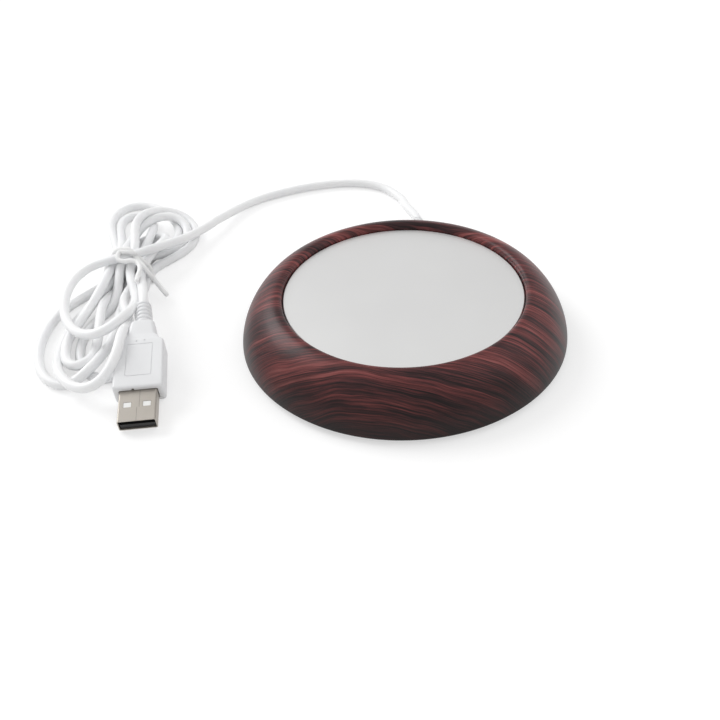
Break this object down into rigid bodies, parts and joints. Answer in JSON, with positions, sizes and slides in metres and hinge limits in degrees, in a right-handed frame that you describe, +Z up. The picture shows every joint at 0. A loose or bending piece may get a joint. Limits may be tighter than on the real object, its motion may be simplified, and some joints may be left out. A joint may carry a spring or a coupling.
{
  "type": "electric mug warmer",
  "caption": "Low domed ring in a dark rosewood finish round a flat heated plate, with a thin tied-up cord and a plug.",
  "frame": {"origin": "on the floor under the centre of the heating plate", "axes": "+Z up, out of the plate's face; +Y towards the cord's exit at the back; +X to the right seen from the front"},
  "size_m": [0.1794, 0.1597, 0.0192],
  "materials": {
    "ring_print": "satin dark rosewood print, near-black streaks in dark red-brown",
    "seal_rubber": "matt black silicone",
    "plate_aluminium": "fine satin",
    "heater_film": "amber polyimide",
    "trace_metal": "etched foil",
    "mica": "mica sheet",
    "pad_fibre": "ceramic fibre felt",
    "clamp_steel": "zinc plated",
    "screw_steel": "zinc plated",
    "cutout_case": "satin",
    "lead_red": "satin insulation",
    "lead_black": "satin insulation",
    "lead_white": "glass-fibre sleeve",
    "sleeve_black": "heat-shrink",
    "base_black": "fine moulded texture",
    "foot_rubber": "matt",
    "cord_white": "satin flexible jacket",
    "tie_white": "plastic-coated wire",
    "plug_white": "satin moulding",
    "plug_core": "moulded",
    "plug_steel": "nickel plated, warm grey",
    "tongue_black": "moulded",
    "contact_gold": "gold plated"
  },
  "bodies": {
    "root": {"top_shell": "ring_print", "plate_seal": "seal_rubber", "heating_plate": "plate_aluminium", "heater_film": "heater_film", "heater_trace": "trace_metal", "mica_disc": "mica", "insulation_pad": "pad_fibre", "clamp_plate": "clamp_steel", "clamp_screws": "screw_steel", "thermal_cutout": "cutout_case", "cutout_clip": "clamp_steel", "clip_rivets": "screw_steel", "lead_red": "lead_red", "lead_black": "lead_black", "cutout_lead_in": "lead_white", "cutout_lead_out": "lead_white", "heater_lead": "lead_white", "splice_sleeves": "sleeve_black", "base_cover": "base_black", "base_screws": "screw_steel", "foot_1": "foot_rubber", "foot_2": "foot_rubber", "foot_3": "foot_rubber", "foot_4": "foot_rubber", "cable_clamp": "base_black", "cable_clamp_screws": "screw_steel", "cord_bush": "cord_white", "cord_inlet": "cord_white", "cord_run": "cord_white", "cord_hank": "cord_white", "cord_tail": "cord_white", "twist_tie": "tie_white", "plug_body": "plug_white", "plug_core": "plug_core", "plug_shell": "plug_steel", "plug_tongue": "tongue_black", "plug_contacts": "contact_gold"}
  },
  "joints": []
}
